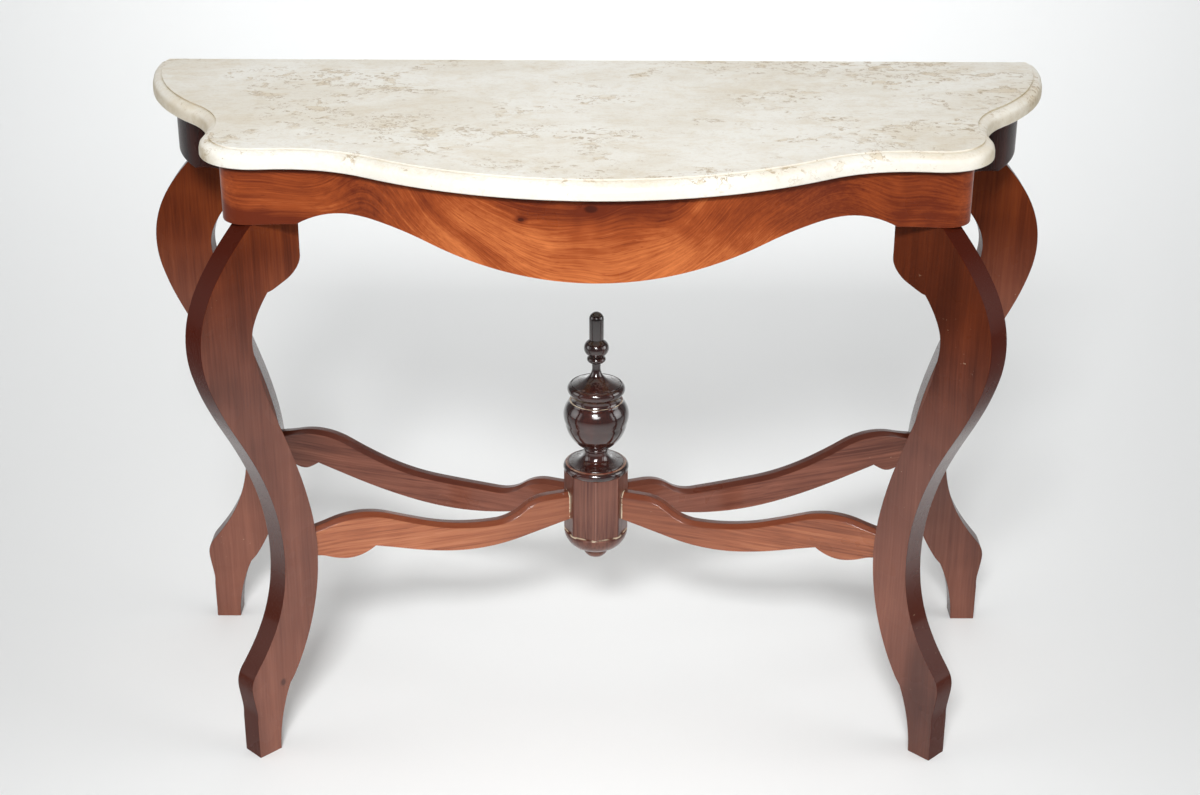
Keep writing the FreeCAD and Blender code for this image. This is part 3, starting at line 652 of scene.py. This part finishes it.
# ------------------------------------------ stone finish
def stone_finish():
    """Cream stone with clouds, clustered brown flecks, pits, a groove darkened by grime and
    painted shade, and a painted highlight on the front edge.
    """
    finish = Finish("cream_stone")
    bed = finish.waved(finish.stretched(finish.place, (0.72, 1.0, 1.0)), 12.0, 0.012)
    clouds = finish.noise(bed, 7.0, 5.0, 0.62, 0.3)
    shade = finish.mix(finish.rise(clouds, 0.40, 0.62), tint("stone_cream"), tint("stone_pale"))
    warm = finish.rise(finish.noise(bed, 13.0, 5.0, 0.7, 0.4), 0.50, 0.66)
    shade = finish.mix(warm * 0.26, shade, tint("stone_tan"))
    grain = finish.rise(finish.noise(finish.place, 240.0, 4.0, 0.7), 0.46, 0.62)
    shade = finish.mix(grain * 0.12, shade, tint("stone_tan"))
    mottle = finish.rise(finish.noise(bed, 62.0, 5.0, 0.7, 0.3), 0.51, 0.62)
    shade = finish.mix(mottle * 0.17, shade, tint("stone_tan"))
    clusters = finish.rise(finish.noise(bed, 8.0, 4.0, 0.66, 0.4), 0.50, 0.56)
    islands = finish.noise(bed, 40.0, 5.0, 0.66, 0.4)
    shore = 0.575
    filled = finish.rise(islands, shore, 0.590)
    shade = finish.mix(filled * clusters * 0.48, shade, tint("stone_tan"))
    rims = finish.rise(abs(islands - shore), 0.014, 0.005)
    rims = rims * finish.rise(finish.noise(bed, 40.0, 2.0), 0.46, 0.54)
    veins = abs(finish.noise(bed, 55.0, 4.0, 0.66, 0.5) - 0.5)
    tracks = finish.rise(veins, 0.018, 0.006)
    tracks = tracks * finish.rise(finish.noise(bed, 36.0, 2.0), 0.51, 0.56)
    chips = finish.rise(finish.noise(bed, 110.0, 4.0, 0.66, 0.4), 0.585, 0.62)
    flecks = rims.larger(tracks).larger(chips) * (clusters * 0.85 + 0.15)
    loose = finish.rise(finish.noise(bed, 75.0, 5.0, 0.7, 0.4), 0.655, 0.68)
    shade = finish.mix(flecks * 0.72, shade, tint("stone_fleck"))
    shade = finish.mix(loose * 0.50, shade, tint("stone_fleck"))
    z = finish.axes(finish.place)[2]
    facing = finish.facing()
    edge = finish.rise(facing[2], 0.80, 0.30)
    # The groove is darkened by grime and painted shade, and the sides are darker tan.
    groove = finish.rise(z, STONE_HIGH - 0.0026, STONE_HIGH - 0.0018)
    groove = groove * finish.rise(z, STONE_HIGH - 0.0004, STONE_HIGH - 0.0012)
    patchy = finish.noise(finish.place, 30.0, 3.0, 0.6)
    sideways = finish.rise(abs(facing[0]), 0.40, 0.90)
    shade = finish.mix(groove * (patchy * 0.5 + sideways * 0.5 + 0.10), shade, tint("stone_grime"))
    side = edge * sideways * (patchy * 0.9 + 0.12)
    shade = finish.mix(side, shade, tint("stone_grime"))
    # Painted highlight: the front of the moulded edge is painted paler, as if lit from the front.
    shade = finish.mix(edge * (1.0 - sideways) * 0.60, shade, tint("stone_pale"))
    holes = finish.rise(finish.noise(finish.place, 150.0, 3.0, 0.6), 0.66, 0.72)
    pits = holes * finish.rise(finish.noise(finish.place, 22.0, 2.0), 0.48, 0.60)
    pits = pits * (edge * 0.8 + 0.12)
    shade = finish.mix(pits * 0.7, shade, tint("stone_grime"))
    height = finish.noise(finish.place, 70.0, 4.0, 0.6) * 0.10 - pits - flecks * 0.12
    return finish.end(
        Base_Color=shade, Roughness=0.40 + mottle * 0.08 + pits * 0.3, Coat_Weight=0.08,
        Coat_Roughness=0.18, Normal=finish.bump(height, 0.25, 0.0006))


# --------------------------------------------- modelling
def start_fresh():
    """Goes to Object Mode with nothing selected."""
    if bpy.context.object and bpy.context.object.mode != "OBJECT":
        bpy.ops.object.mode_set(mode="OBJECT")
    bpy.ops.object.select_all(action="DESELECT")


def select_only(piece):
    start_fresh()
    piece.select_set(True)
    bpy.context.view_layer.objects.active = piece


def select_edges(piece, wanted):
    """Selects, in Edit Mode, only the edges for which wanted is true."""
    bpy.ops.mesh.select_mode(type="EDGE")
    bpy.ops.mesh.select_all(action="DESELECT")
    mesh = bmesh.from_edit_mesh(piece.data)
    for edge in mesh.edges:
        edge.select = wanted(edge)
    mesh.select_flush_mode()
    bmesh.update_edit_mesh(piece.data)


def settle(piece, name, *materials):
    """Names a finished piece, puts its place into its mesh and gives it materials."""
    select_only(piece)
    bpy.ops.object.transform_apply(location=True, rotation=True, scale=True)
    piece.name = name
    piece.data.name = name
    piece.data.materials.clear()
    for material in materials:
        piece.data.materials.append(material)
    return piece


def merged_copy(node):
    """A copy of a node's mesh with its loose triangles joined into clean faces."""
    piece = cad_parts[node].copy()
    piece.data = piece.data.copy()
    piece.parent = None
    for key in list(piece.keys()):
        del piece[key]
    bpy.context.scene.collection.objects.link(piece)
    piece.data.materials.clear()
    piece.data.materials.append(None)
    piece.data.materials.append(None)
    for polygon in piece.data.polygons:
        polygon.material_index = 0
    select_only(piece)
    bpy.ops.object.mode_set(mode="EDIT")
    bpy.ops.mesh.select_all(action="SELECT")
    bpy.ops.mesh.customdata_custom_splitnormals_clear()
    bpy.ops.mesh.remove_doubles(threshold=TINY)
    bpy.ops.mesh.dissolve_limited(angle_limit=math.radians(FLAT_ANGLE))
    bpy.ops.mesh.select_all(action="DESELECT")
    bpy.ops.object.mode_set(mode="OBJECT")
    return piece


def ease_edges(piece, width, sharp_angle):
    """Bevels the sharp outward edges; the bevel takes the second material."""
    limit = math.radians(sharp_angle)

    def is_arris(edge):
        if len(edge.link_faces) != 2 or not edge.is_convex:
            return False
        return edge.calc_face_angle() > limit and edge.calc_length() > width

    select_only(piece)
    bpy.ops.object.mode_set(mode="EDIT")
    select_edges(piece, is_arris)
    bpy.ops.mesh.bevel(
        offset=width, segments=ARRIS_SEGMENTS, affect="EDGES", material=1, clamp_overlap=False)
    bpy.ops.object.mode_set(mode="OBJECT")
    bpy.ops.object.shade_smooth_by_angle(angle=math.radians(SMOOTH_SAWN))
    bpy.ops.object.modifier_add(type="WEIGHTED_NORMAL")
    piece.modifiers[-1].keep_sharp = True
    bpy.ops.object.modifier_apply(modifier=piece.modifiers[-1].name)


def finished_node(node, name, width, sharp_angle, finish, edge_finish, body=FRAME_BODY):
    """A node's own shape with eased edges, in place of the node."""
    piece = merged_copy(node)
    ease_edges(piece, width, sharp_angle)
    settle(piece, name, finish, edge_finish)
    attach(piece, body)
    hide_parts(node)
    return piece


def bow(first, middle, last, count):
    """Points of the arc through three (radius, height) points, without the first."""
    ax, ay = first
    bx, by = middle[0] - ax, middle[1] - ay
    cx, cy = last[0] - ax, last[1] - ay
    d = 2.0 * (bx * cy - by * cx)
    ux = (cy * (bx * bx + by * by) - by * (cx * cx + cy * cy)) / d
    uy = (bx * (cx * cx + cy * cy) - cx * (bx * bx + by * by)) / d
    centre = (ax + ux, ay + uy)
    radius = math.hypot(ux, uy)
    start = math.atan2(-uy, -ux)
    end = math.atan2(last[1] - centre[1], last[0] - centre[0])
    turn = (end - start) % (2 * math.pi)
    if d < 0:
        turn -= 2 * math.pi
    angles = [start + turn * k / count for k in range(1, count + 1)]
    return [(centre[0] + radius * math.cos(t), centre[1] + radius * math.sin(t)) for t in angles]


def turn_on_lathe(points, groove_heights, name, finish, groove_finish):
    """A disc extruded along (radius, height) points; its grooves take their own finish."""
    start_fresh()
    sides = sizes().turning_sides
    radius, height = points[0]
    centre = (CROSSING.x, CROSSING.y)
    bpy.ops.mesh.primitive_circle_add(
        vertices=sides, radius=radius, fill_type="NGON", location=(*centre, height))
    piece = bpy.context.object
    bpy.ops.object.mode_set(mode="EDIT")
    bpy.ops.mesh.select_mode(type="FACE")
    bpy.ops.mesh.select_all(action="SELECT")
    for next_radius, next_height in points[1:]:
        rise = (0, 0, next_height - height)
        bpy.ops.mesh.extrude_region_move(TRANSFORM_OT_translate={"value": rise})
        factor = next_radius / radius
        bpy.ops.transform.resize(
            value=(factor, factor, 1.0), center_override=(*centre, next_height))
        radius, height = next_radius, next_height
    bpy.ops.mesh.select_all(action="SELECT")
    bpy.ops.mesh.remove_doubles(threshold=TINY)
    bpy.ops.mesh.normals_make_consistent(inside=False)
    bpy.ops.object.mode_set(mode="OBJECT")
    settle(piece, name, finish, groove_finish)
    for polygon in piece.data.polygons:
        middle = polygon.center.z
        if any(abs(middle - groove) < GROOVE_REACH for groove in groove_heights):
            polygon.material_index = 1
    bpy.ops.object.shade_smooth_by_angle(angle=math.radians(SMOOTH_TURNED))
    return piece


# --------------------------------------------- operators
class PierOperator(bpy.types.Operator):
    """What the operators below share"""

    bl_options = {"REGISTER", "UNDO"}


class OBJECT_OT_pier_stone_top(PierOperator):
    """Finish the moulded stone top"""

    bl_idname = "object.pier_stone_top"
    bl_label = "Stone Top"

    def execute(self, context):
        stone = stone_finish()
        piece = finished_node(
            "marble_top", "stone_top", sizes().stone_arris, SHARP_STONE, stone, stone, TOP_BODY)
        return {"FINISHED"}


class OBJECT_OT_pier_aprons(PierOperator):
    """Finish the bowed front apron and the two side aprons"""

    bl_idname = "object.pier_aprons"
    bl_label = "Aprons"

    def execute(self, context):
        width = sizes().arris
        edge = worn_edge_and_highlight("apron_arris", "apron_dark", 0.45)
        piece = finished_node(
            "front_apron", "bowed_front_apron", width, SHARP_WOOD, apron_finish(), edge)
        dark = dark_rail_finish()
        dark_edge = worn_edge_and_highlight("side_apron_arris", "stain", 0.2)
        for side in ("right", "left"):
            node = side + "_side_apron"
            piece = finished_node(node, "curved_" + node, width, SHARP_WOOD, dark, dark_edge)
        return {"FINISHED"}


class OBJECT_OT_pier_legs(PierOperator):
    """Finish the four sawn legs"""

    bl_idname = "object.pier_legs"
    bl_label = "Legs"

    def execute(self, context):
        width = sizes().arris
        edge = worn_edge_and_highlight("leg_arris", "leg_dark", 0.54)
        for seed, corner in enumerate(CORNERS):
            node = corner + "_leg"
            finish = leg_finish(node + "_mahogany", seed + 1.0, *LEG_LOOKS[corner])
            piece = finished_node(node, "sawn_" + node, width, SHARP_WOOD, finish, edge)
        return {"FINISHED"}


class OBJECT_OT_pier_stretchers(PierOperator):
    """Finish the four stretcher arms"""

    bl_idname = "object.pier_stretchers"
    bl_label = "Stretcher Arms"

    def execute(self, context):
        width = sizes().arris
        front_tones = ("arm_dark", "arm_mid", "arm_light")
        rear_tones = ("leg_dark", "leg_mid", "leg_light")
        # The arms' arrises take more pale patches, partly painted highlights.
        edge = worn_edge_and_highlight("arm_arris", "arm_band", 0.70, 0.5)
        for seed, corner in enumerate(CORNERS):
            node = corner + "_stretcher"
            middle = (low(node) + high(node)) / 2 - CROSSING
            turn = math.atan2(middle.y, middle.x)
            in_front = corner.startswith("front")
            tones = front_tones if in_front else rear_tones
            band = "arm_band" if in_front else "stain"
            depth = 0.30 if corner == "front_right" else 0.10
            finish = arm_finish(node + "_mahogany", turn, seed + 6.0, tones, band, depth)
            piece = finished_node(node, "shaped_" + node, width, SHARP_WOOD, finish, edge)
        return {"FINISHED"}


class OBJECT_OT_pier_block(PierOperator):
    """Model the octagonal block and the turned pendant on its lower end"""

    bl_idname = "object.pier_block"
    bl_label = "Crossing Block"

    def execute(self, context):
        start_fresh()
        bpy.ops.mesh.primitive_cylinder_add(
            vertices=8, radius=BLOCK_RADIUS, depth=BLOCK_TOP - BLOCK_BOTTOM,
            location=(CROSSING.x, CROSSING.y, (BLOCK_TOP + BLOCK_BOTTOM) / 2))
        block = bpy.context.object
        block.data.materials.append(None)
        block.data.materials.append(None)
        ease_edges(block, sizes().block_arris, SHARP_WOOD)
        wood = block_finish()
        edge = worn_edge_and_highlight("block_arris", "block_dark", 0.30, 0.60)
        settle(block, "octagonal_block", wood, edge)
        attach(block, FRAME_BODY)
        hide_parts("centre_block")

        def at(radius, drop):
            """A point by its shares of the block's radius and of the turned end."""
            return BLOCK_RADIUS * radius, BLOCK_BOTTOM - PENDANT_DROP * drop

        # From the button up to the bowl and the facets.
        profile = [at(0.02, 1.0), at(0.11, 0.995), at(0.215, 0.96)]
        profile += bow(at(0.215, 0.96), at(0.35, 0.84), at(0.38, 0.64), 10)
        profile += [at(0.44, 0.625), at(0.49, 0.61)]
        profile += bow(at(0.49, 0.61), at(0.82, 0.42), at(0.99, 0.06), 16)
        profile += [at(0.99, 0.0), at(0.80, 0.0), at(0.80, -0.02), at(0.02, -0.02)]
        pendant = turn_on_lathe(profile, [], "turned_pendant", wood, wood)
        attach(pendant, FRAME_BODY)
        return {"FINISHED"}


class OBJECT_OT_pier_finial(PierOperator):
    """Turn the urn finial with its round base, lid and spire"""

    bl_idname = "object.pier_finial"
    bl_label = "Urn Finial"

    def execute(self, context):
        foot = BLOCK_TOP
        base = FINIAL_BASE
        height = high("finial").z - foot - base

        def on_base(radius, share):
            """A point by its shares of the block's radius and of the base."""
            return BLOCK_RADIUS * radius, foot + base * share

        def at(radius, share):
            """A point by its shares of the block's radius and of the height above the base."""
            return BLOCK_RADIUS * radius, foot + base + height * share

        base_groove, urn_groove = 0.374, 0.3675
        # The round base, its groove, and the waist above it.
        profile = [on_base(0.02, 0.0), on_base(0.965, 0.0)]
        profile += bow(on_base(0.965, 0.0), on_base(1.015, 0.2), on_base(0.895, 0.385), 12)
        profile += [on_base(0.878, 0.400), on_base(0.870, base_groove)]
        profile += [on_base(0.857, base_groove), on_base(0.845, 0.405), on_base(0.62, 0.45)]
        profile += bow(on_base(0.62, 0.45), on_base(0.435, 0.64), on_base(0.368, 0.97), 12)
        # The bead under the urn, the urn and its groove.
        profile += [at(0.345, -0.002), at(0.385, 0.002), at(0.397, 0.008)]
        profile += [at(0.391, 0.014), at(0.379, 0.019), at(0.40, 0.023)]
        profile += bow(at(0.40, 0.023), at(0.75, 0.091), at(0.962, 0.208), 18)
        profile += bow(at(0.962, 0.208), at(0.99, 0.297), at(0.826, 0.363), 16)
        profile += [at(0.822, urn_groove), at(0.811, urn_groove)]
        profile += [at(0.80, 0.3655), at(0.775, 0.3665)]
        profile += bow(at(0.775, 0.3665), at(0.735, 0.393), at(0.80, 0.419), 8)
        # The lid, with its rim and its hollow top.
        profile += [at(0.832, 0.422)]
        profile += bow(at(0.832, 0.422), at(0.888, 0.448), at(0.808, 0.482), 10)
        profile += [at(0.79, 0.484), at(0.776, 0.477), at(0.762, 0.477), at(0.748, 0.485)]
        profile += [at(0.60, 0.496), at(0.43, 0.510)]
        profile += bow(at(0.43, 0.510), at(0.205, 0.548), at(0.136, 0.620), 14)
        # The spire: a ring, a ball and a round-ended spindle.
        profile += [at(0.134, 0.640), at(0.150, 0.646)]
        profile += bow(at(0.150, 0.646), at(0.29, 0.664), at(0.205, 0.684), 9)
        profile += [at(0.215, 0.688)]
        profile += bow(at(0.215, 0.688), at(0.383, 0.740), at(0.240, 0.797), 14)
        profile += [at(0.212, 0.803), at(0.226, 0.812), at(0.227, 0.94)]
        profile += bow(at(0.227, 0.94), at(0.165, 0.983), at(0.010, 1.0), 10)
        grooves = [foot + base * base_groove, foot + base + height * urn_groove]
        piece = turn_on_lathe(
            profile, grooves, "turned_urn_finial", finial_finish(), pale_line_finish())
        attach(piece, FRAME_BODY)
        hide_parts("finial")
        return {"FINISHED"}


class OBJECT_OT_pier_inner_frame(PierOperator):
    """Give the hidden softwood pieces their finish"""

    bl_idname = "object.pier_inner_frame"
    bl_label = "Inner Frame"

    def execute(self, context):
        along = softwood_finish("softwood_along", 0.0)
        across = softwood_finish("softwood_across", math.pi / 2)
        for node in ("back_rail", "frame_keys"):
            self.cover(node, along)
        for side in ("right", "left"):
            self.cover(side + "_bearer", across)
            self.cover("front_" + side + "_corner_block", along)
            self.cover("rear_" + side + "_corner_block", along)
        return {"FINISHED"}

    @staticmethod
    def cover(node, material):
        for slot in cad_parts[node].material_slots:
            slot.material = material


class SCENE_OT_pier_stage(PierOperator):
    """Set up the studio floor, the soft lights and the camera"""

    bl_idname = "scene.pier_stage"
    bl_label = "Studio Stage"

    def execute(self, context):
        self.make_floor()
        self.make_lights()
        self.make_camera()
        return {"FINISHED"}

    @staticmethod
    def make_floor():
        """A floor that curves up into a backdrop behind the table."""
        start_fresh()
        size = sizes().floor_size
        bpy.ops.mesh.primitive_plane_add(size=size, location=(0, 0, FLOOR))
        sweep = bpy.context.object
        bpy.ops.object.mode_set(mode="EDIT")

        def at_back(edge):
            return all(vertex.co.y > size * 0.4 for vertex in edge.verts)

        def at_fold(edge):
            return at_back(edge) and all(vertex.co.z < 0.1 for vertex in edge.verts)

        select_edges(sweep, at_back)
        rise = (0, 0, size * BACKDROP_HEIGHT)
        bpy.ops.mesh.extrude_region_move(TRANSFORM_OT_translate={"value": rise})
        select_edges(sweep, at_fold)
        bpy.ops.mesh.bevel(
            offset=SWEEP_RADIUS, segments=SWEEP_SEGMENTS, affect="EDGES", clamp_overlap=False)
        bpy.ops.object.mode_set(mode="OBJECT")
        finish = Finish("studio_paper")
        material = finish.end(Base_Color=tint("floor_white"), Roughness=0.75)
        settle(sweep, "studio_sweep", material)
        bpy.ops.object.shade_smooth()

    @staticmethod
    def add_light(name, place, aim, width, depth, power, spread):
        start_fresh()
        bpy.ops.object.light_add(type="AREA", location=place)
        lamp = bpy.context.object
        lamp.name = name
        lamp.data.shape = "RECTANGLE"
        lamp.data.size = width
        lamp.data.size_y = depth
        lamp.data.energy = power
        lamp.data.spread = math.radians(spread)
        heading = Vector(aim) - Vector(place)
        lamp.rotation_euler = heading.to_track_quat("-Z", "Y").to_euler()

    def make_lights(self):
        for light in LIGHTS:
            self.add_light(*light)
        world = bpy.context.scene.world or bpy.data.worlds.new("studio")
        bpy.context.scene.world = world
        world.use_nodes = True
        background = world.node_tree.nodes["Background"]
        background.inputs["Color"].default_value = (1.0, 1.0, 1.0, 1.0)
        background.inputs["Strength"].default_value = WORLD_STRENGTH
        bpy.context.scene.view_settings.view_transform = "Standard"

    @staticmethod
    def make_camera():
        data = bpy.data.cameras.new("studio_camera")
        data.sensor_width = CAMERA_SENSOR
        data.lens = CAMERA_LENS
        camera = bpy.data.objects.new("studio_camera", data)
        bpy.context.scene.collection.objects.link(camera)
        turn = Matrix.Rotation(math.radians(CAMERA_TURN), 4, "Z")
        tilt = Matrix.Rotation(math.pi / 2 - math.radians(CAMERA_PITCH_DOWN), 4, "X")
        roll = Matrix.Rotation(math.radians(CAMERA_ROLL), 4, "Z")
        camera.matrix_world = Matrix.Translation(Vector(CAMERA_PLACE)) @ turn @ tilt @ roll
        bpy.context.scene.camera = camera


class VIEW3D_PT_pier_table(bpy.types.Panel):
    """Lists the table's pieces and settings"""

    bl_idname = "VIEW3D_PT_pier_table"
    bl_label = "Pier Table"
    bl_space_type = "VIEW_3D"
    bl_region_type = "UI"
    bl_category = "Pier Table"

    def draw(self, context):
        layout = self.layout
        for operator in OPERATORS:
            layout.operator(operator.bl_idname)
        for group in (context.scene.pier_table_sizes, context.scene.pier_table_colours):
            for name in type(group).__annotations__:
                layout.prop(group, name)


OPERATORS = (
    OBJECT_OT_pier_stone_top,
    OBJECT_OT_pier_aprons,
    OBJECT_OT_pier_legs,
    OBJECT_OT_pier_stretchers,
    OBJECT_OT_pier_block,
    OBJECT_OT_pier_finial,
    OBJECT_OT_pier_inner_frame,
    SCENE_OT_pier_stage,
)
CLASSES = (PierTableSizes, PierTableColours, *OPERATORS, VIEW3D_PT_pier_table)


def register():
    for cls in CLASSES:
        bpy.utils.register_class(cls)
    bpy.types.Scene.pier_table_sizes = bpy.props.PointerProperty(type=PierTableSizes)
    bpy.types.Scene.pier_table_colours = bpy.props.PointerProperty(type=PierTableColours)


def unregister():
    del bpy.types.Scene.pier_table_colours
    del bpy.types.Scene.pier_table_sizes
    for cls in reversed(CLASSES):
        bpy.utils.unregister_class(cls)


def main():
    register()
    bpy.ops.object.pier_stone_top()
    bpy.ops.object.pier_aprons()
    bpy.ops.object.pier_legs()
    bpy.ops.object.pier_stretchers()
    bpy.ops.object.pier_block()
    bpy.ops.object.pier_finial()
    bpy.ops.object.pier_inner_frame()
    bpy.ops.scene.pier_stage()


if __name__ == "__main__":
    main()
